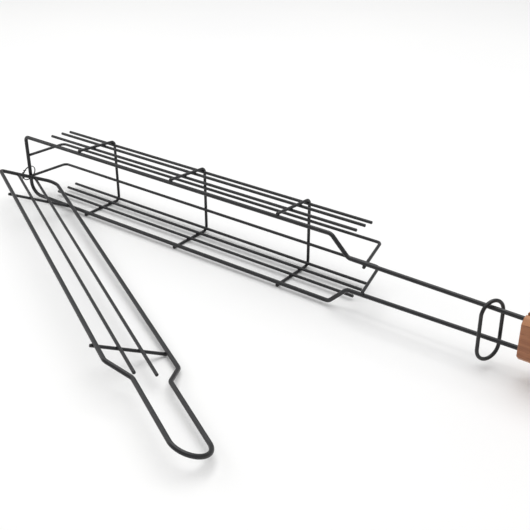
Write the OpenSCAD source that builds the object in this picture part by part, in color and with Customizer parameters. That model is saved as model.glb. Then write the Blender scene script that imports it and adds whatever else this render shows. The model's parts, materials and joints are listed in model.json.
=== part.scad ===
// Grill basket of coated steel wire, lying on its side with its lid open.
// Built from the frame's end wire: X runs to the handle, Y from the open side to the
// back, Z up. The last step moves it so that the origin is under the middle of its box.

/* [Wires] */
// Diameter of the thick wire of the basket frame and the lid frame
frame_d = 3.2; // [2.6:0.1:3.8]
// Diameter of the thin wire of hoops, rods, back wires and crossbars
rod_d = 2.4; // [1.8:0.1:3]
// How far two crossing wires sink into each other at a weld
weld = 0.15; // [0.05:0.05:0.3]
// How far a wire's end sinks into a wire that it is butt-welded to
butt_weld = 0.5; // [0.3:0.1:0.8]
// Chamfer on every cut wire end
end_chamfer = 0.3; // [0.1:0.1:0.6]

/* [Basket] */
// Length of the open side, from the end wire to the shoulders
basket_len = 330; // [250:5:450]
// Width of the open side, between the centres of its two long wires
basket_w = 55; // [46:1:80]
// Depth of the basket, from the frame's centre to the back wires' centres
basket_depth = 39.2; // [32:0.5:60]
// Angle by which the upper side leans in toward the back
upper_draft = 4.5; // [0:0.5:8]
// Bend radius at the frame's upper far corner
frame_bend_upper = 3.5; // [2.5:0.5:12]
// Bend radius at the frame's lower far corner
frame_bend_lower = 11; // [2.5:0.5:14]

/* [Hoops and rods] */
// Distance from the end wire to the first hoop
first_hoop = 71; // [40:1:90]
// Distance between two hoops
hoop_pitch = 106; // [80:1:150]
// Bend radius of the hoops, at the centre of the wire
hoop_bend = 4; // [3:0.5:10]
// How far the hoops' ends stand out past the frame wires' centres
hoop_tip = 0.8; // [0:0.1:2]
// Depth of the side rods nearest the open side
front_rod_depth = 17.3; // [10:0.1:20]
// Depth of the side rods in the middle of the sides
middle_rod_depth = 29.2; // [22:0.1:32]
// Distance from the end wire to the cut ends of the side rods
rod_start = 15.5; // [5:0.5:30]
// How far the side rods run on past the shoulders' start
rod_overhang = 10.5; // [2:0.5:20]
// Bend radius of the back wires
back_bend = 4; // [2.5:0.5:8]
// Distance from the end wire to the bend at the back wires' far end
back_far_bend = 4; // [2.5:0.5:8]
// How far past the shoulders' start the back wires bend forward
back_near_bend = 18.5; // [10:0.5:26]
// How far past the shoulders' start the back wires' near ends lie
back_near_end = 29; // [24:0.5:40]
// How far the back wires' near ends stand out past the handle wires' centres
back_near_tip = 1.4; // [0:0.1:2]
// Distance of the back wires' far ends from the end wire's centre, along the basket
back_far_tip = 0.6; // [0:0.1:1]
// Angle round the hoops' back bends at which the first side rods lie
corner_rod_angle = 42; // [35:1:50]

/* [Handle] */
// Length of the shoulders, along the basket
shoulder_len = 15; // [10:1:30]
// Bend radius of the frame's and the lid's shoulders
shoulder_bend = 6; // [4:0.5:12]
// Distance between the handle wires where the shoulders end
handle_gap = 25.8; // [20:0.2:32]
// Distance between the handle wires where the grip starts
grip_gap = 22.4; // [18:0.2:24]
// Distance from the shoulders' end to the grip
handle_len = 132; // [105:1:200]
// Length of the wooden grip
grip_len = 115; // [80:1:160]
// Height of the wooden grip across its narrow sides
grip_h = 31; // [27:0.5:40]
// Thickness of the wooden grip
grip_t = 18; // [14:0.5:26]
// Bevel along the grip's edges
grip_bevel = 3.4; // [1:0.2:5]
// Air between a handle wire and its groove in the grip
groove_gap = 0.1; // [0.05:0.05:0.3]
// How far the hanging loop stands out past the grip
loop_len = 20; // [14:1:40]
// How much tighter the hanging loop's two bends are than half the wires' distance
loop_flat = 1.5; // [0.5:0.1:4]

/* [Lid] */
// How much narrower the lid frame is than the basket frame, between centres
lid_narrower = 2.4; // [1.6:0.1:5]
// How far the lid's shoulders start before the basket's
lid_shoulder_back = 7.4; // [4:0.1:12]
// Length of the lid's shoulders, along the lid
lid_shoulder_len = 17.7; // [10:0.1:30]
// Width of the lid's tongue, between its wires' centres
tongue_w = 26.4; // [20:0.2:30]
// Length of the tongue, from the shoulders to its round end
tongue_len = 77.3; // [50:0.5:100]
// Bend radius at the lid's left far corner
lid_bend_left = 3.5; // [2.5:0.5:12]
// Bend radius at the lid's right far corner
lid_bend_right = 9; // [2.5:0.5:14]
// Place of the left lid rod, left of the lid's middle
lid_rod_left_at = 9.5; // [5:0.1:14]
// Place of the right lid rod, right of the lid's middle
lid_rod_right_at = 6.4; // [5:0.1:14]
// How far the lid's rods run on past the lid's shoulders' start
lid_rod_overhang = 11; // [2:0.5:14]
// Distance from the lid's far end to its first crossbar
lid_bar_start = 50.4; // [30:0.2:80]
// Distance from the second crossbar to the lid's shoulders' start
lid_bar_end = 21.6; // [10:0.2:60]
// How far the crossbars stand out past the left lid wire's centre
lid_bar_out_left = 2.5; // [1:0.1:5]
// How far the crossbars stand out past the right lid wire's centre
lid_bar_out_right = 0.8; // [0:0.1:3]

/* [Hinge] */
// Heading of the axis that the lid turns about, from +X toward -Y
hinge_heading = 13.2; // [8:0.1:18]
// Angle by which that axis dips toward the handle
hinge_dip = 21.1; // [16:0.1:26]
// Depth of that axis behind the frame, at the end wire
hinge_depth = 7.3; // [5:0.1:10]
// Height of that axis above the frame's middle, at the end wire
hinge_rise = -2.35; // [-5:0.05:2]
// Height of the lid's far end above the frame's middle when shut
shut_rise = 3.1; // [1:0.1:5]
// Distance from the end wire to the lid's far wire when shut
shut_inset = 7.5; // [5:0.1:9]
// How far the lid's far end stands out in front of the frame when shut
shut_proud = 2.7; // [1:0.1:4]
// Angle by which the shut lid's tongue stands out from the handle
shut_yaw = 0.35; // [0:0.05:1]
// Angle by which the shut lid's tongue points down
shut_pitch = 0.7; // [0:0.05:1.5]
// Angle by which the shut lid turns about its own length
shut_twist = 2; // [0:0.1:4]
// Gap left between the open lid and the table
rest_gap = 0.05; // [0.02:0.01:0.2]

/* [Rings] */
// Diameter of the hinge ring's wire
hinge_ring_wire = 0.8; // [0.6:0.1:1.2]
// Radius of the hinge ring, at its wire's centre
hinge_ring_r = 7.2; // [7:0.1:7.8]
// Diameter of the lock ring's wire
lock_ring_wire = 2.6; // [2:0.1:3]
// Height of the lock ring, between its wire's centres
lock_ring_h = 42; // [40:0.2:48]
// Width of the lock ring, between its wire's centres
lock_ring_w = 18.8; // [17:0.2:22]
// Distance from the lock ring to the grip
lock_ring_back = 21.8; // [12:0.2:60]
// How far the lock ring's middle stands out in front of the frame
lock_ring_proud = 1.4; // [0:0.1:2]
// How far the lock ring's middle hangs below the frame's middle
lock_ring_drop = 4.4; // [3.8:0.1:5]
// Turn of the lock ring about X, then Y, then Z
lock_ring_turn = [-3.8, 3.3, 66];
// Distance from the end wire to the hinge ring's middle, along the basket
hinge_ring_inset = 0.7; // [0.4:0.1:1]
// How far the hinge ring's middle stands out in front of the frame
hinge_ring_proud = 2.2; // [1.9:0.1:2.5]
// How far the hinge ring's middle lies below the frame's middle
hinge_ring_drop = 6.7; // [6.4:0.1:7]
// Turn of the hinge ring about X, then Y, then Z
hinge_ring_turn = [0, 45, -94.5];

/* [Hidden] */
$fn = 64;

STEEL = [0.13, 0.13, 0.14];
THIN_STEEL = [0.2, 0.2, 0.21];
WOOD = [0.6, 0.38, 0.24];

// Distance between the centres of a thick and a thin wire that are welded
thick_on_thin = (frame_d + rod_d) / 2 - weld;
// Distance between the centres of two thin wires that are welded
thin_on_thin = rod_d - weld;
mid_z = basket_w / 2;
// A straight stretch of wire laps this far over a bend, which is this much slimmer
lap = 0.15;
lap_step = 0.01;

// Basket: where the hoops' back legs and the table lie
hoop_back = basket_depth + thin_on_thin;
table_z = -thick_on_thin - rod_d / 2;
side_rod_end = basket_len + rod_overhang;

// Handle: the two handle wires close in on each other by this much per mm
shoulder_end = basket_len + shoulder_len;
grip_start = shoulder_end + handle_len;
grip_end = grip_start + grip_len;
handle_taper = (handle_gap - grip_gap) / 2 / handle_len;
loop_end = grip_end + loop_len;
loop_bend = handle_half(loop_end) - loop_flat;
// The back wires are welded to the handle wires' facing sides
back_wire_half = handle_half(basket_len + back_near_end) - thick_on_thin;

// Lid, in its own frame: X along it, Y to its right as it lies open, Z out of its top
lid_w = basket_w - lid_narrower;
lid_len = basket_len - lid_shoulder_back;
tongue_start = lid_len + lid_shoulder_len;
tongue_bow = tongue_start + tongue_len - tongue_w / 2;
lid_bar_z = -thick_on_thin;
lid_rod_z = lid_bar_z + thin_on_thin;
lid_bar_at = [lid_bar_start, lid_len - lid_bar_end];

// Hinge: a point on the axis that the lid turns about, and the axis itself
hinge_at = [0, hinge_depth, mid_z + hinge_rise];
hinge_dir = [cos(hinge_heading) * cos(hinge_dip),
             -sin(hinge_heading) * cos(hinge_dip), -sin(hinge_dip)];
// The shut lid's directions and far end, in the basket's frame
shut_turn = [-90 + shut_twist, shut_pitch, -shut_yaw];
shut_at = [shut_inset, -shut_proud, mid_z + shut_rise];

// The open lid lies on the lower right end of its second crossbar
lid_foot = shut_point([lid_bar_at[1], lid_w / 2 + lid_bar_out_right, lid_bar_z]) - hinge_at;
foot_along = hinge_dir.z * (hinge_dir * lid_foot);
foot_cos = lid_foot.z - foot_along;
foot_sin = cross(hinge_dir, lid_foot).z;
foot_clear = rod_d / 2 + rest_gap;
lid_open = atan2(foot_sin, foot_cos)
    + acos((table_z + foot_clear - hinge_at.z - foot_along) / norm([foot_cos, foot_sin]));

// The whole object's box, from the pieces that reach furthest each way
lid_u = open_way([1, 0, 0]);
lid_v = open_way([0, 1, 0]);
far_corner = open_point([lid_bend_left, -lid_w / 2 + lid_bend_left, 0]);
bend_edge = frame_d / 2 - lap_step;
low_x = far_corner.x - lid_bend_left * norm([lid_u.x, lid_v.x]) - bend_edge;
high_x = loop_end + frame_d / 2;
low_y = open_point([tongue_bow, 0, 0]).y - tongue_w / 2 * norm([lid_u.y, lid_v.y]) - bend_edge;
high_y = hoop_back + rod_d / 2;
origin = [(low_x + high_x) / 2, (low_y + high_y) / 2, table_z];

// Lock ring: hung on the upper handle wire, turned and leaning
lock_ring_x = grip_start - lock_ring_back;
lock_ring_at = [lock_ring_x, -lock_ring_proud, mid_z - lock_ring_drop];

// Hinge ring: loops round the end wire and the lid's far wire at once
hinge_ring_at = [hinge_ring_inset, -hinge_ring_proud, mid_z - hinge_ring_drop];

// ---- Places ----

function unit(v) = v / norm(v);

// A vector turned by an angle about a unit axis
function turned(v, axis, angle) =
    v * cos(angle) + cross(axis, v) * sin(angle) + axis * (axis * v) * (1 - cos(angle));

// A vector turned about X, then Y, then Z
function turned_xyz(v, a) =
    turned(turned(turned(v, [1, 0, 0], a.x), [0, 1, 0], a.y), [0, 0, 1], a.z);

// A point of the lid, in the basket's frame, with the lid shut
function shut_point(p) = shut_at + turned_xyz(p, shut_turn);

// A direction and a point of the lid, in the basket's frame, with the lid open
function open_way(v) = turned(turned_xyz(v, shut_turn), hinge_dir, lid_open);
function open_point(p) = hinge_at + turned(shut_point(p) - hinge_at, hinge_dir, lid_open);

// Half the distance between the handle wires at a place along them
function handle_half(x) = handle_gap / 2 - handle_taper * (x - shoulder_end);

// Height of the hoops' upper and lower legs at a depth
function upper_leg(y) = basket_w + thick_on_thin - y * tan(upper_draft);
function lower_leg(y) = -thick_on_thin;

// Middle of a hoop's upper or lower back bend
function upper_corner() = [hoop_back - hoop_bend,
    upper_leg(hoop_back - hoop_bend) - hoop_bend / cos(upper_draft)];
function lower_corner() = [hoop_back - hoop_bend, -thick_on_thin + hoop_bend];

// Depth and height of a side rod: the first lies in the hoops' bends, the others on
// the hoops' legs
function corner_rod(middle, rise) =
    middle + (hoop_bend - thin_on_thin) * [cos(corner_rod_angle), rise * sin(corner_rod_angle)];
function upper_rod_at(i) = i == 1 ? corner_rod(upper_corner(), 1)
    : [rod_depth(i), upper_leg(rod_depth(i)) - thin_on_thin / cos(upper_draft)];
function lower_rod_at(i) = i == 1 ? corner_rod(lower_corner(), -1)
    : [rod_depth(i), lower_leg(rod_depth(i)) + thin_on_thin];
function rod_depth(i) = i == 2 ? middle_rod_depth : front_rod_depth;

// ---- Wires ----

// Straight round wire between two points
module straight(from, to, d) {
    run = to - from;
    translate(from)
        rotate([0, acos(run.z / norm(run)), atan2(run.y, run.x)])
            cylinder(d = d, h = norm(run));
}

// Straight wire with both cut ends chamfered
module cut_rod(from, to, d) {
    run = to - from;
    translate(from)
        rotate([0, acos(run.z / norm(run)), atan2(run.y, run.x)])
            rotate_extrude()
                polygon([[0, 0], [d / 2 - end_chamfer, 0], [d / 2, end_chamfer],
                         [d / 2, norm(run) - end_chamfer],
                         [d / 2 - end_chamfer, norm(run)], [0, norm(run)]]);
}

// How much straight length a bend takes up on each side of its corner
function bend_run(before, at, after, r) =
    r * tan(acos(unit(at - before) * unit(after - at)) / 2);

// Round bend of a wire at a corner of its path
module bend(before, at, after, r, d) {
    way_in = unit(at - before);
    way_out = unit(after - at);
    side = unit(way_out - (way_in * way_out) * way_in);
    up = cross(way_in, side);
    middle = at - way_in * bend_run(before, at, after, r) + side * r;
    multmatrix([[-side.x, way_in.x, up.x, middle.x],
                [-side.y, way_in.y, up.y, middle.y],
                [-side.z, way_in.z, up.z, middle.z]])
        rotate_extrude(angle = acos(way_in * way_out))
            translate([r, 0])
                circle(d = d - 2 * lap_step);
}

// Straight wire between two bends, with its ends lapped a little way over them
module between_bends(from, to, d) {
    way = unit(to - from);
    straight(from - way * lap, to + way * lap, d);
}

// Closed wire loop through corner points, each with its own bend radius
module wire_loop(corners, radii, d) {
    n = len(corners);
    for (i = [0 : n - 1]) {
        a = corners[(i + n - 1) % n];
        b = corners[i];
        c = corners[(i + 1) % n];
        e = corners[(i + 2) % n];
        bend(a, b, c, radii[i], d);
        from = b + unit(c - b) * bend_run(a, b, c, radii[i]);
        to = c - unit(c - b) * bend_run(b, c, e, radii[(i + 1) % n]);
        between_bends(from, to, d);
    }
}

// Wire with two bends and two chamfered ends, through four points
module bent_wire(p, r, d) {
    first = bend_run(p[0], p[1], p[2], r);
    second = bend_run(p[1], p[2], p[3], r);
    way = unit(p[2] - p[1]);
    end_leg(p[0], p[1] - unit(p[1] - p[0]) * first, d);
    bend(p[0], p[1], p[2], r, d);
    between_bends(p[1] + way * first, p[2] - way * second, d);
    bend(p[1], p[2], p[3], r, d);
    end_leg(p[3], p[2] + unit(p[3] - p[2]) * second, d);
}

// Straight leg whose first end is cut and chamfered
module end_leg(tip, to, d) {
    run = (to - tip) * (1 + lap / norm(to - tip));
    translate(tip)
        rotate([0, acos(run.z / norm(run)), atan2(run.y, run.x)])
            rotate_extrude()
                polygon([[0, 0], [d / 2 - end_chamfer, 0], [d / 2, end_chamfer],
                         [d / 2, norm(run)], [0, norm(run)]]);
}

// ---- Placing ----

module placed() {
    translate(-origin) children();
}

// Children drawn in the lid's own frame, put where the open lid lies
module on_lid() {
    placed()
        translate(hinge_at) rotate(a = lid_open, v = hinge_dir) translate(-hinge_at)
            translate(shut_at) rotate(shut_turn)
                children();
}

// ---- Basket ----

// One closed loop: far end, long wires, shoulders, handle wires, hanging loop
module basket_frame() {
    half = basket_w / 2;
    neck = handle_gap / 2;
    tip = handle_half(loop_end);
    color(STEEL) placed() translate([0, 0, mid_z])
        wire_loop([[0, 0, -half], [0, 0, half],
                   [basket_len, 0, half], [shoulder_end, 0, neck],
                   [loop_end, 0, tip], [loop_end, 0, -tip],
                   [shoulder_end, 0, -neck], [basket_len, 0, -half]],
                  [frame_bend_lower, frame_bend_upper,
                   shoulder_bend, shoulder_bend,
                   loop_bend, loop_bend,
                   shoulder_bend, shoulder_bend], frame_d);
}

// Hoop round three sides of the basket, welded outside the frame and the rods
module hoop(i) {
    x = first_hoop + (i - 1) * hoop_pitch;
    color(THIN_STEEL) placed()
        bent_wire([[x, -hoop_tip, upper_leg(-hoop_tip)],
                   [x, hoop_back, upper_leg(hoop_back)],
                   [x, hoop_back, lower_leg(hoop_back)],
                   [x, -hoop_tip, lower_leg(-hoop_tip)]], hoop_bend, rod_d);
}

// Side rod at a depth and height, cut free at both ends
module side_rod(at) {
    color(THIN_STEEL) placed()
        cut_rod([rod_start, at[0], at[1]], [side_rod_end, at[0], at[1]], rod_d);
}

// Back wire: welded to the end wire and, past the shoulders, to a handle wire
module back_wire(side) {
    z = mid_z + side * back_wire_half;
    color(THIN_STEEL) placed()
        bent_wire([[back_far_tip, frame_d / 2 - butt_weld, z],
                   [back_far_bend, basket_depth, z],
                   [basket_len + back_near_bend, basket_depth, z],
                   [basket_len + back_near_end, -back_near_tip, z]], back_bend, rod_d);
}

// Wooden grip: bevelled block with a groove for each handle wire along its narrow sides
module wooden_grip() {
    color(WOOD) placed() translate([0, 0, mid_z])
        difference() {
            grip_block();
            for (side = [-1, 1]) grip_groove(side);
        }
}

module grip_block() {
    translate([grip_start, 0, 0]) rotate([90, 0, 90])
        linear_extrude(grip_len)
            polygon(bevelled(grip_t / 2, grip_h / 2, grip_bevel));
}

// Outline of a rectangle with its four corners cut off
function bevelled(x, y, cut) =
    [[x - cut, -y], [x, cut - y], [x, y - cut], [x - cut, y],
     [cut - x, y], [-x, y - cut], [-x, cut - y], [cut - x, -y]];

// Groove that a handle wire lies in, open to the grip's narrow side
module grip_groove(side) {
    past = frame_d;
    from = [grip_start - past, 0, side * handle_half(grip_start - past)];
    groove_d = frame_d + 2 * groove_gap;
    translate(from) rotate([90, 0, 90]) rotate([side * atan(handle_taper), 0, 0])
        linear_extrude(grip_len + 2 * past) {
            circle(d = groove_d);
            translate([-groove_d / 2, side > 0 ? 0 : -grip_h]) square([groove_d, grip_h]);
        }
}

// ---- Lid ----

// One closed loop with a narrow round tongue
module lid_frame() {
    half = lid_w / 2;
    tongue = tongue_w / 2;
    tip = tongue_bow + tongue;
    color(STEEL) on_lid()
        wire_loop([[0, half, 0], [0, -half, 0],
                   [lid_len, -half, 0], [tongue_start, -tongue, 0],
                   [tip, -tongue, 0], [tip, tongue, 0],
                   [tongue_start, tongue, 0], [lid_len, half, 0]],
                  [lid_bend_right, lid_bend_left,
                   shoulder_bend, shoulder_bend,
                   tongue - lap, tongue - lap,
                   shoulder_bend, shoulder_bend], frame_d);
}

module lid_rod(across) {
    color(THIN_STEEL) on_lid()
        cut_rod([frame_d / 2 - butt_weld, across, lid_rod_z],
                [lid_len + lid_rod_overhang, across, lid_rod_z], rod_d);
}

module lid_bar(i) {
    color(THIN_STEEL) on_lid()
        cut_rod([lid_bar_at[i], -lid_w / 2 - lid_bar_out_left, lid_bar_z],
                [lid_bar_at[i], lid_w / 2 + lid_bar_out_right, lid_bar_z], rod_d);
}

// ---- Rings ----

// Oval ring that slides along the handle wires and over the lid's tongue
module lock_ring() {
    r = lock_ring_w / 2;
    reach = lock_ring_h / 2 - r;
    color(STEEL) placed() translate(lock_ring_at) rotate(lock_ring_turn) {
        for (side = [-1, 1]) {
            straight([side * r, 0, -reach], [side * r, 0, reach], lock_ring_wire);
            translate([0, 0, side * reach]) rotate([90, 0, 0])
                rotate([0, 0, side > 0 ? 0 : 180])
                    rotate_extrude(angle = 180) translate([r, 0]) circle(d = lock_ring_wire);
        }
    }
}

// Two turns of thin wire side by side
module hinge_ring() {
    pitch = hinge_ring_wire - weld / 2;
    color(THIN_STEEL) placed() translate(hinge_ring_at) rotate(hinge_ring_turn)
        for (side = [-1, 1])
            translate([0, 0, side * pitch / 2])
                rotate_extrude() translate([hinge_ring_r, 0]) circle(d = hinge_ring_wire);
}

basket_frame();
hoop(1);  // hoop_1
hoop(2);  // hoop_2
hoop(3);  // hoop_3
side_rod(upper_rod_at(1));  // upper_rod_1
side_rod(upper_rod_at(2));  // upper_rod_2
side_rod(upper_rod_at(3));  // upper_rod_3
side_rod(lower_rod_at(1));  // lower_rod_1
side_rod(lower_rod_at(2));  // lower_rod_2
side_rod(lower_rod_at(3));  // lower_rod_3
back_wire(1);  // back_wire_upper
back_wire(-1);  // back_wire_lower
wooden_grip();
lock_ring();
lid_frame();
lid_rod(-lid_rod_left_at);  // lid_rod_left
lid_rod(lid_rod_right_at);  // lid_rod_right
lid_bar(0);  // lid_bar_hinge
lid_bar(1);  // lid_bar_tongue
hinge_ring();
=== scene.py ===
"""Grill basket of coated wire, lid open: the looks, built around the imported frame.

Every wire is swept again as a fine tube along the centre line of its CAD node, the welds
get their beads, the hinge ring becomes a twisted wire tie, and the grip is carved anew.
"""
import json
import math

import bmesh
import bpy
import numpy as np
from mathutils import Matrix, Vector


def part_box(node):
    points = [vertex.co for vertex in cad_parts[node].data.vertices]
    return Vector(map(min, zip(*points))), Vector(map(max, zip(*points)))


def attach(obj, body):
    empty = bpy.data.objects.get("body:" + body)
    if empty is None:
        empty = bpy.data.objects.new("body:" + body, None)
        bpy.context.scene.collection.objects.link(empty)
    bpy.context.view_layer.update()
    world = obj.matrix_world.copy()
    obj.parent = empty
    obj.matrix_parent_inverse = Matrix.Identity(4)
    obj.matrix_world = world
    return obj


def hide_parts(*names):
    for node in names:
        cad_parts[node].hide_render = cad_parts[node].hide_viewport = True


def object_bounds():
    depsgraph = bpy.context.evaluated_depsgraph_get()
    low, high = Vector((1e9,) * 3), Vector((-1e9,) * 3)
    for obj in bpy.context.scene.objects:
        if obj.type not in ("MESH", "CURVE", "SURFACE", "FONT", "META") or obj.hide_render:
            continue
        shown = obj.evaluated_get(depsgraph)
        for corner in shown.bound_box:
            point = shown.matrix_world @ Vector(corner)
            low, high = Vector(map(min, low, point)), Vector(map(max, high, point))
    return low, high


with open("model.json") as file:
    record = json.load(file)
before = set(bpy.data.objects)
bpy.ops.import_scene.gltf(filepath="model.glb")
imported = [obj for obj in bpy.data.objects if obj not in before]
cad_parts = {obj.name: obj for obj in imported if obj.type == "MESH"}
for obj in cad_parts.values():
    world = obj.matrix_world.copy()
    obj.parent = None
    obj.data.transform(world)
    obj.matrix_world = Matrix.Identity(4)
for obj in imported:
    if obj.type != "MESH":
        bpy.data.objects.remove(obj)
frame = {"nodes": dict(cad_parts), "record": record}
cad_low, cad_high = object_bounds()

MM = 0.001

# Wires
FRAME_R = 1.6 * MM
ROD_R = 1.2 * MM
LOCK_R = 1.3 * MM
SIDES = 28
RING_STEP = 3.0 * MM
BEND_STEP = math.radians(4)
COAT_WAVE = 0.006
COAT_WAVE_LENGTHS = 21 * MM, 47 * MM, 9 * MM
TOUCHING_POINTS = 0.01 * MM

# Cut ends of a wire: how far in each ring stands, and its share of the full radius
CUT_SETBACK = 0.0 * MM, 0.07 * MM, 0.3 * MM
CUT_SHARE = 0.74, 0.9, 1.0

# Welds
WELD_SCAN = 0.5 * MM
WELD_GAP_STEPS = 4
WELD_MOST_PARALLEL = 0.8
WELD_SAME_PLACE = 0.2 * MM
BEAD_ALONG, BEAD_ACROSS = 1.02, 0.98
BEAD_HALF_HEIGHT = 0.62 * MM
BEAD_RINGS, BEAD_SIDES = 9, 20
BEAD_UNEVEN_ROUND, BEAD_UNEVEN_UP = 0.06, 0.04
BEAD_PHASE = 2.4

# Basket: bends and lengths of the frame and the hoops
FRAME_BEND_UPPER = 3.5 * MM
FRAME_BEND_LOWER = 11.0 * MM
SHOULDER_BEND = 6.0 * MM
HOOP_BEND = 4.0 * MM
BASKET_LEN = 330.0 * MM
SHOULDER_LEN = 15.0 * MM
HANDLE_HALF = 12.9 * MM
HANDLE_TAPER = 1.7 / 132.0
LOOP_BEND_LESS = 1.5 * MM
UPPER_DRAFT = math.radians(4.5)

# Back wires: how far past the end wire they bend, and how deep the slice at each end is
BACK_BEND = 4.0 * MM
BACK_FAR_BEND = 4.0 * MM
BACK_NEAR_BEND = 348.5 * MM
BACK_FAR_SLICE, BACK_NEAR_SLICE = 0.05 * MM, 0.5 * MM

# Straight wires: one that rises by more than this share of its length counts as upright
UPRIGHT = 0.9

# Lid frame
LID_SHOULDER_BACK = 7.4 * MM
LID_SHOULDER_LEN = 17.7 * MM
TONGUE_HALF = 13.2 * MM
LID_BEND_LEFT = 3.5 * MM
LID_BEND_RIGHT = 9.0 * MM

# Twisted tie: the curl runs between two angles, and winds so many times as fast
TIE_R = 7.0 * MM
TIE_WIRE_R = 0.38 * MM
TIE_TURNS = 2.15
TIE_SPREAD = 0.86 * MM
TIE_POINTS = 160
CURL_R = 0.95 * MM
CURL_WIRE_R = 0.3 * MM
CURL_FROM, CURL_TO = 0.35, 1.75
CURL_WINDING = 21
CURL_POINTS = 150

# Grip
GRIP_BEVEL = 3.4 * MM
BEVEL_ROUND = 0.9 * MM
GROOVE_R = 1.7 * MM
GROOVE_LIP = 0.35 * MM
GRIP_ROUND = 1.1 * MM
FACE_EDGE = 3.0 * MM
GRIP_RINGS, GRIP_ROUND_RINGS = 60, 6
GROOVE_POINTS, BEVEL_POINTS, FACE_POINTS = 7, 5, 6

# Camera: its place from the lower end of the end wire, its heading from +Y toward -X, its dip
EYE = Vector((632.8, -478.0, 331.5)) * MM
EYE_HEADING, EYE_DIP = math.radians(37.09), math.radians(28.14)
LENS, SENSOR = 60.31, 36.0

# Studio
TABLE_REACH = 6.0
TABLE_GAP = 0.05 * MM
SURROUND = 0.5
OVERHEAD = {"place": (-0.1, 0.45, 1.7), "size": 2.0, "power": 28}
FROM_LEFT = {"place": (-1.5, -0.4, 0.9), "size": 0.9, "power": 5}


# ---- Shapes ----

def unit(v):
    """A vector, or each row of an array, divided by its length."""
    v = np.asarray(v, float)
    return v / np.linalg.norm(v, axis=-1, keepdims=True)


def corners(box):
    return np.array(box[0]), np.array(box[1])


def node_points(node):
    """All the vertices of a CAD node, one row each."""
    mesh = frame["nodes"][node].data
    flat = np.empty(len(mesh.vertices) * 3)
    mesh.vertices.foreach_get("co", flat)
    return flat.reshape(-1, 3)


def straight_axis(node):
    """Ends of a straight wire's centre line: the line through the middle of its points
    along the direction in which they spread most."""
    points = node_points(node)
    middle = points.mean(axis=0)
    ways = np.linalg.svd(points - middle, full_matrices=False)[2]
    along = ways[0] if ways[0][np.argmax(abs(ways[0]))] > 0 else -ways[0]
    ways = np.stack([along, ways[1], ways[2]])
    place = (points - middle) @ ways.T
    low, high = place.min(axis=0), place.max(axis=0)
    centre = middle + ((low + high) / 2) @ ways
    half = along * (high[0] - low[0]) / 2
    return centre - half, centre + half


def bent_path(points, radii, closed):
    """Centre line through corner points: straight stretches with a ring every RING_STEP,
    and at each corner an arc of the given radius that is tangent to both stretches."""
    points = np.asarray(points, float)
    count = len(points)
    pieces, last = [], None
    inner = range(count) if closed else range(1, count - 1)
    arcs = []
    for i, radius in zip(inner, radii):
        arcs.append(corner_arc(points[i - 1], points[i], points[(i + 1) % count], radius))
    stops = arcs if closed else [points[:1]] + arcs + [points[-1:]]
    for i, arc in enumerate(stops):
        if last is not None:
            pieces.append(straight_points(last, arc[0]))
        pieces.append(arc)
        last = arc[-1]
    if closed:
        pieces.append(straight_points(last, stops[0][0]))
    return np.concatenate(pieces)


def corner_arc(before, at, after, radius, count=None):
    """Arc that rounds a corner, tangent to both of its sides, with a point every BEND_STEP
    unless a count is given."""
    before, at, after = (np.array(p, float) for p in (before, at, after))
    way_in, way_out = unit(at - before), unit(after - at)
    turn = math.acos(np.clip(way_in @ way_out, -1, 1))
    side = unit(way_out - (way_in @ way_out) * way_in)
    centre = at - way_in * radius * math.tan(turn / 2) + side * radius
    steps = count or max(3, int(math.ceil(turn / BEND_STEP)) + 1)
    angle = np.linspace(0, turn, steps)[:, None]
    return centre - side * radius * np.cos(angle) + way_in * radius * np.sin(angle)


def without_doubles(path):
    """A closed path without the points that lie on the point before them."""
    return path[np.linalg.norm(path - np.roll(path, 1, axis=0), axis=1) > TOUCHING_POINTS]


def straight_points(start, end):
    """Points between two ends of a straight stretch, without the ends themselves."""
    steps = max(1, int(np.linalg.norm(end - start) / RING_STEP))
    share = np.arange(1, steps)[:, None] / steps
    return start + (end - start) * share


def grid_mesh(name, rings, closed, uv_along):
    """Mesh of a grid of rings: row i is one ring of points around the piece. The last point
    of a ring joins the first, the last ring joins the first when the piece is closed, and
    otherwise each end closes in one pole at the middle of its end ring."""
    count, sides = rings.shape[:2]
    verts = rings.reshape(-1, 3)
    row = np.arange(count if closed else count - 1)[:, None]
    col = np.arange(sides)[None, :]
    nxt_row, nxt_col = (row + 1) % count, (col + 1) % sides
    quads = np.stack([row * sides + col, nxt_row * sides + col,
                      nxt_row * sides + nxt_col, row * sides + nxt_col], axis=-1).reshape(-1, 4)
    around = np.broadcast_to(col, (len(row), sides)) / sides
    along = np.broadcast_to(uv_along[row], (len(row), sides))
    ahead = np.append(uv_along, uv_along[-1] + RING_STEP)[row + 1]
    ahead = np.broadcast_to(ahead, (len(row), sides))
    uv = np.stack([np.stack([around, along], -1), np.stack([around, ahead], -1),
                   np.stack([around + 1 / sides, ahead], -1),
                   np.stack([around + 1 / sides, along], -1)], axis=2).reshape(-1, 2)
    faces = quads.tolist()
    if not closed:
        verts = np.vstack([verts, rings[0].mean(axis=0), rings[-1].mean(axis=0)])
        first, last = count * sides, count * sides + 1
        end = (count - 1) * sides
        near, far = np.arange(sides), (np.arange(sides) + 1) % sides
        faces += np.stack([np.full(sides, first), near, far], -1).tolist()
        faces += np.stack([np.full(sides, last), end + far, end + near], -1).tolist()
        cap = np.stack([np.full(sides * 3, 0.5), np.zeros(sides * 3)], -1)
        uv = np.vstack([uv, cap, cap + [0, uv_along[-1]]])
    mesh = bpy.data.meshes.new(name)
    mesh.from_pydata(verts.tolist(), [], faces)
    layer = mesh.uv_layers.new(name="wire")
    layer.data.foreach_set("uv", uv.ravel())
    mesh.polygons.foreach_set("use_smooth", np.ones(len(faces), bool))
    mesh.update()
    return mesh


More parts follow.
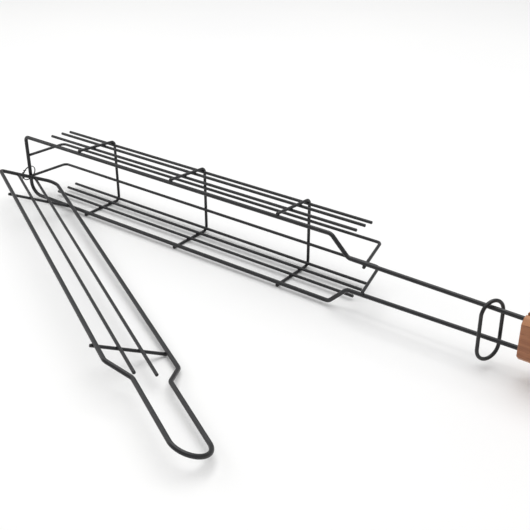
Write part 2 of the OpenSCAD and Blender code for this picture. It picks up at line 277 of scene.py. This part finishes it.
def tube_mesh(name, path, radius, normal, closed, wave=COAT_WAVE):
    """Round wire swept along a path that lies nearly in one plane: each point of the
    surface is the path point plus the radius times cos of the angle round the wire along
    the plane's in-plane side, plus sin of it along the plane's normal. The coat swells and
    thins along the wire by a sum of three sines."""
    if closed:
        way = unit(np.roll(path, -1, axis=0) - np.roll(path, 1, axis=0))
        gap = np.linalg.norm(path - np.roll(path, 1, axis=0), axis=1)
        gap[0] = 0
    else:
        path, shrink = ended(path)
        way = unit(np.gradient(path, axis=0))
        way[0], way[-1] = way[2], way[-3]
        way[1], way[-2] = way[2], way[-3]
        gap = np.concatenate([[0], np.linalg.norm(np.diff(path, axis=0), axis=1)])
    along = np.cumsum(gap)
    side = unit(np.cross(way, normal))
    top = np.cross(side, way)
    angle = np.linspace(0, 2 * np.pi, SIDES, endpoint=False)[None, :, None]
    total = along[-1]
    turns = 2 * np.pi * along[:, None, None] / total
    waves = [round(total / length) for length in COAT_WAVE_LENGTHS]
    swell = (np.sin(turns * waves[0] + 2 * angle) + np.sin(turns * waves[1] - angle)
             + np.sin(turns * waves[2] + 3 * angle)) / 3
    width = radius * (1 + wave * swell)
    if not closed:
        width = width * shrink[:, None, None]
    rings = path[:, None] + width * (np.cos(angle) * side[:, None] + np.sin(angle) * top[:, None])
    return grid_mesh(name, rings, closed, along)


def ended(path):
    """A path with a slightly rounded cut at both ends, and the share of the full radius
    that the wire has at each of its points."""
    setback, share = np.array(CUT_SETBACK), np.array(CUT_SHARE)
    way_in, way_out = unit(path[1] - path[0]), unit(path[-2] - path[-1])
    head = path[0] + setback[:, None] * way_in
    tail = (path[-1] + setback[:, None] * way_out)[::-1]
    middle = path[1:-1]
    shrink = np.concatenate([share, np.ones(len(middle)), share[::-1]])
    return np.concatenate([head, middle, tail]), shrink


def add(name, mesh, material, body, slot, *stands_for):
    """A finished piece: shown at the origin, with its material, body and the CAD nodes that it
    stands for. The slot argument is not used."""
    piece = bpy.data.objects.new(name, mesh)
    bpy.context.scene.collection.objects.link(piece)
    mesh.materials.append(material)
    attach(piece, body)
    if stands_for:
        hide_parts(*stands_for)
    return piece


# ---- Materials ----

def shader(name):
    """A new material, its node tree and its main shader."""
    material = bpy.data.materials.new(name)
    material.use_nodes = True
    tree = material.node_tree
    return material, tree, tree.nodes["Principled BSDF"]


def coordinates(tree, scale, kind="Object", turn=(0, 0, 0)):
    """Object coordinates, or a piece's own UV, turned and scaled for each axis."""
    where = tree.nodes.new("ShaderNodeTexCoord")
    mapping = tree.nodes.new("ShaderNodeMapping")
    mapping.inputs["Scale"].default_value = scale
    mapping.inputs["Rotation"].default_value = turn
    tree.links.new(where.outputs[kind], mapping.inputs["Vector"])
    return mapping.outputs["Vector"]


def noise(tree, vector, scale, detail=4.0, roughness=0.55, distortion=0.0):
    """Value of a noise pattern."""
    node = tree.nodes.new("ShaderNodeTexNoise")
    node.inputs["Scale"].default_value = scale
    node.inputs["Detail"].default_value = detail
    node.inputs["Roughness"].default_value = roughness
    node.inputs["Distortion"].default_value = distortion
    tree.links.new(vector, node.inputs["Vector"])
    return node.outputs["Fac"]


def ramp(tree, value, stops):
    """Colours read off a value between 0 and 1."""
    node = tree.nodes.new("ShaderNodeValToRGB")
    elements = node.color_ramp.elements
    while len(elements) < len(stops):
        elements.new(0.5)
    for element, (place, colour) in zip(elements, stops):
        element.position = place
        element.color = (*colour, 1)
    tree.links.new(value, node.inputs["Fac"])
    return node.outputs["Color"]


def span(tree, value, low, high, from_low=0.3, from_high=0.7):
    """A value moved from one range to another."""
    node = tree.nodes.new("ShaderNodeMapRange")
    node.inputs["From Min"].default_value = from_low
    node.inputs["From Max"].default_value = from_high
    node.inputs["To Min"].default_value = low
    node.inputs["To Max"].default_value = high
    tree.links.new(value, node.inputs["Value"])
    return node.outputs["Result"]


def mixed(tree, share, a, b):
    """Two colours mixed by a share, each a socket or a plain colour. The node's colour
    sockets go by number, because their names repeat."""
    node = tree.nodes.new("ShaderNodeMix")
    node.data_type = "RGBA"
    for value, place in ((share, 0), (a, 6), (b, 7)):
        if isinstance(value, bpy.types.NodeSocket):
            tree.links.new(value, node.inputs[place])
        elif isinstance(value, tuple):
            node.inputs[place].default_value = (*value, 1)
        else:
            node.inputs[place].default_value = value
    return node.outputs[2]


def bumped(tree, main, layers):
    """Bump layers on a shader: each is a height, a strength and a depth in metres."""
    normal = None
    for height, strength, depth in layers:
        node = tree.nodes.new("ShaderNodeBump")
        node.inputs["Strength"].default_value = strength
        node.inputs["Distance"].default_value = depth
        tree.links.new(height, node.inputs["Height"])
        if normal is not None:
            tree.links.new(normal, node.inputs["Normal"])
        normal = node.outputs["Normal"]
    tree.links.new(normal, main.inputs["Normal"])


def coated_steel(name, dark, light, rough_low, rough_high, worn=0.0):
    """Black non-stick coat on drawn wire: a fine grained satin skin, cloudy from the oven,
    with paler specks painted in as glints, faint drawing lines along the wire and, where it
    is worn, patches rubbed paler."""
    material, tree, main = shader(name)
    body = coordinates(tree, (1, 1, 1))
    clouds = noise(tree, body, 90, 5, 0.6)
    grain = noise(tree, body, 2600, 3, 0.6)
    colour = ramp(tree, clouds, [(0.32, dark), (0.68, light)])
    # Painted glints: small paler specks mixed into the coat's colour to stand in for sparkle.
    painted_glint_specks = span(tree, noise(tree, body, 900, 6, 0.7), 0, 1, 0.66, 0.8)
    colour = mixed(tree, painted_glint_specks, colour, tuple(c * 2.2 for c in light))
    if worn:
        patches = noise(tree, body, 210, 6, 0.72)
        rubbed = span(tree, patches, 0, worn, 0.58, 0.7)
        colour = mixed(tree, rubbed, colour, (0.16, 0.155, 0.15))
    tree.links.new(colour, main.inputs["Base Color"])
    tree.links.new(span(tree, noise(tree, body, 160, 4, 0.6), rough_low, rough_high),
                   main.inputs["Roughness"])
    main.inputs["Specular IOR Level"].default_value = 0.5
    lines = noise(tree, coordinates(tree, (26, 5, 1), "UV"), 1, 3, 0.5)
    bumped(tree, main, [(grain, 0.35, 0.00004), (clouds, 0.25, 0.0001), (lines, 0.2, 0.00005)])
    return material


def stained_wood():
    """Close-grained hardwood, stained and oiled: long growth bands and fine fibres that run
    along the grip, short dark pores, darker blotches, and narrow faces painted paler as painted
    light from above."""
    material, tree, main = shader("stained_hardwood")
    bands_at = coordinates(tree, (7, 95, 150), turn=(0.35, 0.02, 0.03))
    fibre_at = coordinates(tree, (28, 900, 900))
    pore_at = coordinates(tree, (120, 2300, 2300))
    bands = noise(tree, bands_at, 1, 5, 0.55, 0.5)
    fibres = noise(tree, fibre_at, 1, 4, 0.6)
    pores = noise(tree, pore_at, 1, 2, 0.5)
    colour = ramp(tree, bands, [(0.3, (0.19, 0.062, 0.026)), (0.47, (0.33, 0.12, 0.052)),
                                (0.58, (0.44, 0.18, 0.083)), (0.72, (0.27, 0.092, 0.04))])
    colour = mixed(tree, span(tree, fibres, 0, 0.55), colour, (0.5, 0.235, 0.115))
    colour = mixed(tree, span(tree, pores, 0, 0.75, 0.62, 0.74), colour, (0.075, 0.028, 0.014))
    blotch = noise(tree, coordinates(tree, (1, 1, 1)), 42, 3, 0.5)
    colour = mixed(tree, span(tree, blotch, 0, 0.4), colour, (0.24, 0.082, 0.038))
    # Painted highlight: faces that point up or down are mixed toward a paler tone, as if lit from
    # above.
    colour = mixed(tree, sanded_edge(tree), colour, (0.6, 0.3, 0.15))
    tree.links.new(colour, main.inputs["Base Color"])
    tree.links.new(span(tree, fibres, 0.42, 0.6), main.inputs["Roughness"])
    main.inputs["Specular IOR Level"].default_value = 0.4
    main.inputs["Coat Weight"].default_value = 0.08
    main.inputs["Coat Roughness"].default_value = 0.35
    bumped(tree, main, [(fibres, 0.3, 0.00008), (pores, 0.35, 0.00012)])
    return material


def sanded_edge(tree):
    """Share of the paler tone painted in as light from above, by how far a face points up or
    down: none on the wide faces, most on the narrow ones.
    """
    where = tree.nodes.new("ShaderNodeTexCoord")
    split = tree.nodes.new("ShaderNodeSeparateXYZ")
    size = tree.nodes.new("ShaderNodeMath")
    size.operation = "ABSOLUTE"
    tree.links.new(where.outputs["Normal"], split.inputs["Vector"])
    tree.links.new(split.outputs["Z"], size.inputs[0])
    return span(tree, size.outputs["Value"], 0, 0.5, 0.3, 0.8)


def plain_floor():
    """Pale matt table top with a barely visible unevenness."""
    material, tree, main = shader("pale_table")
    clouds = noise(tree, coordinates(tree, (1, 1, 1)), 3, 3, 0.5)
    tree.links.new(ramp(tree, clouds, [(0.3, (0.86, 0.86, 0.86)), (0.7, (0.88, 0.88, 0.875))]),
                   main.inputs["Base Color"])
    main.inputs["Roughness"].default_value = 0.55
    main.inputs["Specular IOR Level"].default_value = 0.25
    return material


FRAME_COAT = coated_steel("frame_coat", (0.004, 0.004, 0.005), (0.011, 0.011, 0.013), 0.34, 0.46)
ROD_COAT = coated_steel("rod_coat", (0.004, 0.004, 0.005), (0.013, 0.013, 0.015), 0.36, 0.48)
LOCK_COAT = coated_steel("lock_ring_coat", (0.003, 0.003, 0.004), (0.009, 0.009, 0.01),
                         0.3, 0.42, worn=0.2)
TIE_COAT = coated_steel("tie_wire", (0.004, 0.004, 0.005), (0.012, 0.012, 0.014), 0.36, 0.5)
GRIP_WOOD = stained_wood()


# ---- Basket ----

paths = {}
frame_low, frame_high = corners(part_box("basket_frame"))
end_x = frame_low[0] + FRAME_R
frame_y = (frame_low[1] + frame_high[1]) / 2
lower_z, upper_z = frame_low[2] + FRAME_R, frame_high[2] - FRAME_R
mid_z = (lower_z + upper_z) / 2
shoulder_x = end_x + BASKET_LEN + SHOULDER_LEN


def handle_half(x):
    """Half the distance between the handle wires at a place along them."""
    return HANDLE_HALF - HANDLE_TAPER * (x - shoulder_x)


def basket_frame():
    """Closed loop in the basket's open face: far end, long wires, shoulders, handle wires
    and hanging loop."""
    half = (upper_z - lower_z) / 2
    loop_x = frame_high[0] - FRAME_R
    tip = handle_half(loop_x)
    route = [(end_x, -half), (end_x, half), (end_x + BASKET_LEN, half),
             (shoulder_x, HANDLE_HALF), (loop_x, tip), (loop_x, -tip),
             (shoulder_x, -HANDLE_HALF), (end_x + BASKET_LEN, -half)]
    loop_bend = tip - LOOP_BEND_LESS
    bends = [FRAME_BEND_LOWER, FRAME_BEND_UPPER, SHOULDER_BEND, SHOULDER_BEND,
             loop_bend, loop_bend, SHOULDER_BEND, SHOULDER_BEND]
    points = [(x, frame_y, mid_z + z) for x, z in route]
    paths["basket_frame"] = bent_path(points, bends, True)
    mesh = tube_mesh("frame_wire", paths["basket_frame"], FRAME_R, (0, 1, 0), True)
    add("frame_wire", mesh, FRAME_COAT, "basket", "frame_steel", "basket_frame")


def hoop(node):
    """Three-sided hoop in a plane across the basket: the lower leg is level and the upper
    leg rises toward the open side by the draft."""
    low, high = corners(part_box(node))
    x = (low[0] + high[0]) / 2
    back = high[1] - ROD_R
    tip = low[1] + ROD_R * math.sin(UPPER_DRAFT)
    lower = low[2] + ROD_R
    upper_tip = high[2] - ROD_R * math.cos(UPPER_DRAFT)
    upper_back = upper_tip - (back - tip) * math.tan(UPPER_DRAFT)
    points = [(x, tip, upper_tip), (x, back, upper_back), (x, back, lower), (x, tip, lower)]
    paths[node] = bent_path(points, [HOOP_BEND, HOOP_BEND], False)
    mesh = tube_mesh(node + "_wire", paths[node], ROD_R, (1, 0, 0), False)
    add(node + "_wire", mesh, ROD_COAT, "basket", "rod_steel", node)


def back_wire(node):
    """Wire behind the basket, bent forward at both ends in a level plane. Each end is the
    middle of a thin slice of the node's foremost points there."""
    low, high = corners(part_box(node))
    z = (low[2] + high[2]) / 2
    back = high[1] - ROD_R
    points = node_points(node)
    far = points[points[:, 0] < end_x + BACK_FAR_BEND]
    near = points[points[:, 0] > end_x + BACK_NEAR_BEND + BACK_BEND]
    far_end = far[far[:, 1] < far[:, 1].min() + BACK_FAR_SLICE].mean(axis=0)
    near_end = near[near[:, 1] < near[:, 1].min() + BACK_NEAR_SLICE].mean(axis=0)
    route = [(far_end[0], far_end[1], z), (end_x + BACK_FAR_BEND, back, z),
             (end_x + BACK_NEAR_BEND, back, z), (near_end[0], near_end[1], z)]
    paths[node] = bent_path(route, [BACK_BEND, BACK_BEND], False)
    mesh = tube_mesh(node + "_line", paths[node], ROD_R, (0, 0, 1), False)
    add(node + "_line", mesh, ROD_COAT, "basket", "rod_steel", node)


def straight_wire(node, body):
    """Straight round wire between the two ends of its node's centre line."""
    start, end = straight_axis(node)
    way = unit(end - start)
    normal = (0, 0, 1) if abs(way[2]) < UPRIGHT else (1, 0, 0)
    paths[node] = np.vstack([start, straight_points(start, end), end])
    mesh = tube_mesh(node + "_wire", paths[node], ROD_R, normal, False)
    add(node + "_wire", mesh, ROD_COAT, body, "rod_steel", node)


# ---- Lid ----

def lid_axes():
    """The open lid's own directions: along it, across it to its right, and out of its top."""
    start, end = straight_axis("lid_rod_left")
    along = unit(end - start)
    left, right = straight_axis("lid_bar_tongue")
    across = unit(right - left)
    across = unit(across - (across @ along) * along)
    top = np.cross(along, across)
    if top[2] < 0:
        across, top = -across, -top
    return np.stack([along, across, top])


def lid_frame():
    """Closed loop in the lid's plane with a narrow tongue that ends in a half circle."""
    axes = lid_axes()
    place = node_points("lid_frame") @ axes.T
    low, high = place.min(axis=0), place.max(axis=0)
    far, tip = low[0] + FRAME_R, high[0] - FRAME_R
    half = (high[1] - low[1]) / 2 - FRAME_R
    middle, level = (low[1] + high[1]) / 2, (low[2] + high[2]) / 2
    shoulder = far + BASKET_LEN - LID_SHOULDER_BACK
    neck = shoulder + LID_SHOULDER_LEN
    route = [(far, half), (far, -half), (shoulder, -half), (neck, -TONGUE_HALF),
             (tip, -TONGUE_HALF), (tip, TONGUE_HALF), (neck, TONGUE_HALF), (shoulder, half)]
    bends = [LID_BEND_RIGHT, LID_BEND_LEFT, SHOULDER_BEND, SHOULDER_BEND,
             TONGUE_HALF, TONGUE_HALF, SHOULDER_BEND, SHOULDER_BEND]
    points = [np.array([u, middle + v, level]) @ axes for u, v in route]
    paths["lid_frame"] = without_doubles(bent_path(points, bends, True))
    mesh = tube_mesh("lid_wire", paths["lid_frame"], FRAME_R, axes[2], True)
    add("lid_wire", mesh, FRAME_COAT, "lid", "frame_steel", "lid_frame")


# ---- Welds ----

def weld_places(a, b, reach):
    """Where two wires cross: the nearest point of each and both their directions, once for
    each stretch on which the second wire is nearer to the first than the reach. Stretches
    on which they run nearly parallel are left out."""
    fine_a, fine_b = dense(paths[a], a in LOOPS), dense(paths[b], b in LOOPS)
    gap = np.linalg.norm(fine_b[:, None] - fine_a[None], axis=2)
    nearest = gap.min(axis=1)
    touching = np.flatnonzero(nearest < reach)
    if not len(touching):
        return []
    groups = np.split(touching, np.flatnonzero(np.diff(touching) > WELD_GAP_STEPS) + 1)
    found = []
    for group in groups:
        j = group[np.argmin(nearest[group])]
        i = int(np.argmin(gap[j]))
        way_a = unit(fine_a[min(i + 1, len(fine_a) - 1)] - fine_a[max(i - 1, 0)])
        way_b = unit(fine_b[min(j + 1, len(fine_b) - 1)] - fine_b[max(j - 1, 0)])
        if abs(way_a @ way_b) < WELD_MOST_PARALLEL:
            found.append((fine_a[i], fine_b[j], way_a, way_b))
    return found


def dense(path, closed):
    """A path sampled anew at even steps of WELD_SCAN."""
    if closed:
        path = np.vstack([path, path[:1]])
    length = np.concatenate([[0], np.cumsum(np.linalg.norm(np.diff(path, axis=0), axis=1))])
    steps = np.arange(0, length[-1], WELD_SCAN)
    return np.stack([np.interp(steps, length, path[:, k]) for k in range(3)], axis=1)


def weld_beads(name, body, members):
    """Beads where wires cross: an egg at each contact whose three half axes lie along the
    first wire, across it and from one wire to the other. It swells and thins by two sines,
    of the angle round it and of the angle from its top, with another phase at each weld."""
    radius = {n: FRAME_R if n in LOOPS else ROD_R for n in members}
    welds = []
    for a, b in frame["record"]["behaviour"]["press_fits"]:
        if a in members and b in members:
            for at_a, at_b, way_a, way_b in weld_places(a, b, radius[a] + radius[b]):
                apart = np.linalg.norm(at_b - at_a) > WELD_SAME_PLACE
                out = unit(at_b - at_a) if apart else way_b
                welds.append((at_a + out * radius[a], way_a, out, radius[a], radius[b]))
    centre = np.array([w[0] for w in welds])
    along = np.array([w[1] for w in welds])
    out = np.array([w[2] for w in welds])
    across = unit(np.cross(out, along))
    out = np.cross(along, across)
    size = np.array([[w[4] * BEAD_ALONG, w[3] * BEAD_ACROSS, BEAD_HALF_HEIGHT] for w in welds])
    up = np.linspace(0, np.pi, BEAD_RINGS)[None, 1:-1, None]
    around = np.linspace(0, 2 * np.pi, BEAD_SIDES, endpoint=False)[None, None, :]
    phase = np.arange(len(welds))[:, None, None] * BEAD_PHASE
    uneven = (1 + BEAD_UNEVEN_ROUND * np.sin(3 * around + phase)
              + BEAD_UNEVEN_UP * np.sin(2 * up + phase))
    x = np.sin(up) * np.cos(around) * uneven
    y = np.sin(up) * np.sin(around) * uneven
    z = np.cos(up) + 0 * x
    egg = (centre[:, None, None]
           + (x * size[:, 0, None, None])[..., None] * along[:, None, None]
           + (y * size[:, 1, None, None])[..., None] * across[:, None, None]
           + (z * size[:, 2, None, None])[..., None] * out[:, None, None])
    meshes = [grid_mesh(name, bead, False, np.arange(len(bead)) * MM) for bead in egg]
    add(name, joined(name, meshes), ROD_COAT, body, "rod_steel")


def joined(name, meshes):
    """Several meshes as one, with its normals turned outward."""
    whole = bmesh.new()
    for part in meshes:
        whole.from_mesh(part)
        bpy.data.meshes.remove(part)
    bmesh.ops.recalc_face_normals(whole, faces=whole.faces)
    mesh = bpy.data.meshes.new(name)
    whole.to_mesh(mesh)
    whole.free()
    mesh.polygons.foreach_set("use_smooth", np.ones(len(mesh.polygons), bool))
    return mesh


# ---- Rings ----

def plane_of(node):
    """Middle of a flat ring, its three directions, the last square to its plane, and half
    its size along each."""
    points = node_points(node)
    middle = points.mean(axis=0)
    ways = np.linalg.svd(points - middle, full_matrices=False)[2]
    place = (points - middle) @ ways.T
    centre = middle + ((place.min(axis=0) + place.max(axis=0)) / 2) @ ways
    half = (place.max(axis=0) - place.min(axis=0)) / 2
    return centre, ways, half


def lock_ring():
    """Oval ring: two straight sides joined by half circles."""
    centre, ways, half = plane_of("lock_ring")
    tall, wide = half[0] - LOCK_R, half[1] - LOCK_R
    up, side, normal = ways
    corner = [centre + up * (sign_up * tall) + side * (sign_side * wide)
              for sign_up, sign_side in ((-1, -1), (1, -1), (1, 1), (-1, 1))]
    path = without_doubles(bent_path(corner, [wide] * 4, True))
    mesh = tube_mesh("lock_ring_wire", path, LOCK_R, normal, True)
    add("lock_ring_wire", mesh, LOCK_COAT, "lock_ring", "lock_ring_steel", "lock_ring")


def hinge_tie():
    """Tie wire round both end wires: a flat helix of a little over two turns, and a tail
    wound as a small helix round part of it."""
    centre, (side, up, axis) = plane_of("hinge_ring")[:2]
    turn = np.linspace(0, TIE_TURNS * 2 * np.pi, TIE_POINTS)
    lift = (turn / turn[-1] - 0.5) * TIE_SPREAD
    coil = (centre + TIE_R * (np.cos(turn)[:, None] * side + np.sin(turn)[:, None] * up)
            + lift[:, None] * axis)
    hoop_mesh = tube_mesh("tie_coil", coil, TIE_WIRE_R, axis, False, 0)
    swing = np.linspace(CURL_FROM, CURL_TO, CURL_POINTS)
    outward = np.cos(swing)[:, None] * side + np.sin(swing)[:, None] * up
    wind = (swing - swing[0]) * CURL_WINDING
    curl = (centre + outward * (TIE_R + CURL_R * np.cos(wind))[:, None]
            + axis * (CURL_R * np.sin(wind))[:, None])
    curl_mesh = tube_mesh("tie_curl", curl, CURL_WIRE_R, axis, False, 0)
    mesh = joined("hinge_tie", [hoop_mesh, curl_mesh])
    add("hinge_tie", mesh, TIE_COAT, "hinge_ring", "hinge_ring_steel", "hinge_ring")


# ---- Grip ----

def quarter_outline(width, height, groove):
    """One quarter of the grip's outline, from the groove's bottom to the middle of the wide
    face, and for each point how much it gives way where the grip's ends are rounded: the
    groove's quarter circle and wall, a small rounded lip, the narrow face, a rounded bevel,
    and the wide face."""
    angle = np.linspace(0, np.pi / 2, GROOVE_POINTS)
    bowl = np.stack([GROOVE_R * np.sin(angle), groove - GROOVE_R * np.cos(angle)], 1)
    lip_curve = np.stack([GROOVE_R + GROOVE_LIP * (1 - np.cos(angle)),
                          height - GROOVE_LIP + GROOVE_LIP * np.sin(angle)], 1)
    start, end = (width - GRIP_BEVEL, height), (width, height - GRIP_BEVEL)
    first = corner_arc((GROOVE_R, height), start, end, BEVEL_ROUND, BEVEL_POINTS)
    second = corner_arc(start, end, (width, 0), BEVEL_ROUND, BEVEL_POINTS)
    face = np.stack([np.full(FACE_POINTS, width),
                     np.linspace(end[1] - FACE_EDGE, 0, FACE_POINTS)], 1)
    outline = np.concatenate([bowl, lip_curve, first, second, face])
    give = np.concatenate([np.zeros(len(bowl)), np.linspace(0, 1, len(lip_curve)),
                           np.ones(len(first) + len(second) + len(face))])
    return outline, give


def grip():
    """Bevelled wooden grip carried along its length: the outline's groove follows the
    converging handle wires, and near both ends the outline draws in on a quarter circle."""
    low, high = corners(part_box("wooden_grip"))
    middle = (low + high) / 2
    width, height = (high[1] - low[1]) / 2, (high[2] - low[2]) / 2
    curve = np.linspace(0, np.pi / 2, GRIP_ROUND_RINGS)
    from_end = GRIP_ROUND * (1 - np.cos(curve))
    draw_in = GRIP_ROUND * (1 - np.sin(curve))
    inner = np.linspace(low[0] + GRIP_ROUND, high[0] - GRIP_ROUND, GRIP_RINGS)[1:-1]
    places = np.concatenate([low[0] + from_end, inner, (high[0] - from_end)[::-1]])
    inset = np.concatenate([draw_in, np.zeros(len(inner)), draw_in[::-1]])
    rings = []
    for x, drawn in zip(places, inset):
        outline, give = quarter_outline(width, height, handle_half(x))
        past_lip = np.maximum(outline[:, 0] - GROOVE_R - GROOVE_LIP, 0)
        outline[:, 0] -= past_lip * drawn / (width - GROOVE_R - GROOVE_LIP)
        outline[:, 1] *= 1 - give * drawn / height
        rings.append(four_quarters(outline, x, middle))
    mesh = capped_mesh("grip_wood", np.array(rings))
    add("grip_wood", mesh, GRIP_WOOD, "basket", "grip_wood", "wooden_grip")


def four_quarters(outline, x, middle):
    """A ring of the grip from one quarter outline, mirrored to all four quarters."""
    mirrored = outline[::-1] * [1, -1]
    half = np.concatenate([outline, mirrored[1:]])
    whole = np.concatenate([half, (half * [-1, 1])[::-1][1:-1]])
    return np.column_stack([np.full(len(whole), x), middle[1] + whole[:, 0],
                            middle[2] + whole[:, 1]])


def capped_mesh(name, rings):
    """Mesh of a grid of rings with one flat face over each end."""
    count, sides = rings.shape[:2]
    row, col = np.arange(count - 1)[:, None], np.arange(sides)[None, :]
    nxt = (col + 1) % sides
    quads = np.stack([row * sides + col, row * sides + nxt,
                      (row + 1) * sides + nxt, (row + 1) * sides + col], -1).reshape(-1, 4)
    faces = quads.tolist()
    faces.append(list(range(sides))[::-1])
    faces.append(list(range((count - 1) * sides, count * sides)))
    mesh = bpy.data.meshes.new(name)
    mesh.from_pydata(rings.reshape(-1, 3).tolist(), [], faces)
    part = joined(name, [mesh])
    smooth = np.ones(len(part.polygons), bool)
    smooth[-2:] = False
    part.polygons.foreach_set("use_smooth", smooth)
    return part


# ---- Studio ----

def floor():
    """Pale table top under the object, with its far side out of the camera's sight."""
    mesh = bpy.data.meshes.new("table_top")
    corner = [(x * TABLE_REACH, y * TABLE_REACH, 0)
              for x, y in ((-1, -1), (1, -1), (1, 1), (-1, 1))]
    mesh.from_pydata(corner, [], [(0, 1, 2, 3)])
    mesh.materials.append(plain_floor())
    table = bpy.data.objects.new("table_top", mesh)
    table.location.z = cad_low.z - TABLE_GAP
    bpy.context.scene.collection.objects.link(table)


def soft_light(name, place, size, power):
    """Large square lamp turned toward the origin."""
    lamp = bpy.data.lights.new(name, "AREA")
    lamp.shape, lamp.size, lamp.energy = "SQUARE", size, power
    holder = bpy.data.objects.new(name, lamp)
    holder.location = place
    holder.rotation_mode = "QUATERNION"
    holder.rotation_quaternion = (-Vector(place)).to_track_quat("-Z", "Y")
    bpy.context.scene.collection.objects.link(holder)


def studio():
    """White surroundings, a big lamp above and a weaker one from the left."""
    world = bpy.data.worlds.new("studio")
    world.use_nodes = True
    background = world.node_tree.nodes["Background"]
    background.inputs["Color"].default_value = (1.0, 1.0, 1.0, 1)
    background.inputs["Strength"].default_value = SURROUND
    bpy.context.scene.world = world
    bpy.context.scene.view_settings.view_transform = "Standard"
    soft_light("overhead", **OVERHEAD)
    soft_light("left", **FROM_LEFT)


def camera():
    """Camera that looks along the basket from beside the handle and from above it."""
    level = math.cos(EYE_DIP)
    look = Vector((-math.sin(EYE_HEADING) * level, math.cos(EYE_HEADING) * level,
                   -math.sin(EYE_DIP)))
    lens = bpy.data.cameras.new("viewpoint")
    lens.sensor_width, lens.lens = SENSOR, LENS
    lens.clip_start, lens.clip_end = 0.01, 50
    viewpoint = bpy.data.objects.new("viewpoint", lens)
    viewpoint.location = Vector((end_x, frame_y, lower_z)) + EYE
    viewpoint.rotation_mode = "QUATERNION"
    viewpoint.rotation_quaternion = look.to_track_quat("-Z", "Y")
    bpy.context.scene.collection.objects.link(viewpoint)
    bpy.context.scene.camera = viewpoint


# ---- The whole object ----

LOOPS = ("basket_frame", "lid_frame")
RODS = [side + "_rod_" + str(i) for side in ("upper", "lower") for i in (1, 2, 3)]
HOOPS = ["hoop_1", "hoop_2", "hoop_3"]
BACKS = ["back_wire_upper", "back_wire_lower"]
LID_WIRES = ["lid_rod_left", "lid_rod_right", "lid_bar_hinge", "lid_bar_tongue"]

camera()
studio()
floor()
basket_frame()
for node in HOOPS:
    hoop(node)
for node in BACKS:
    back_wire(node)
for node in RODS:
    straight_wire(node, "basket")
lid_frame()
for node in LID_WIRES:
    straight_wire(node, "lid")
weld_beads("basket_welds", "basket", ["basket_frame"] + HOOPS + RODS + BACKS)
weld_beads("lid_welds", "lid", ["lid_frame"] + LID_WIRES)
lock_ring()
hinge_tie()
grip()
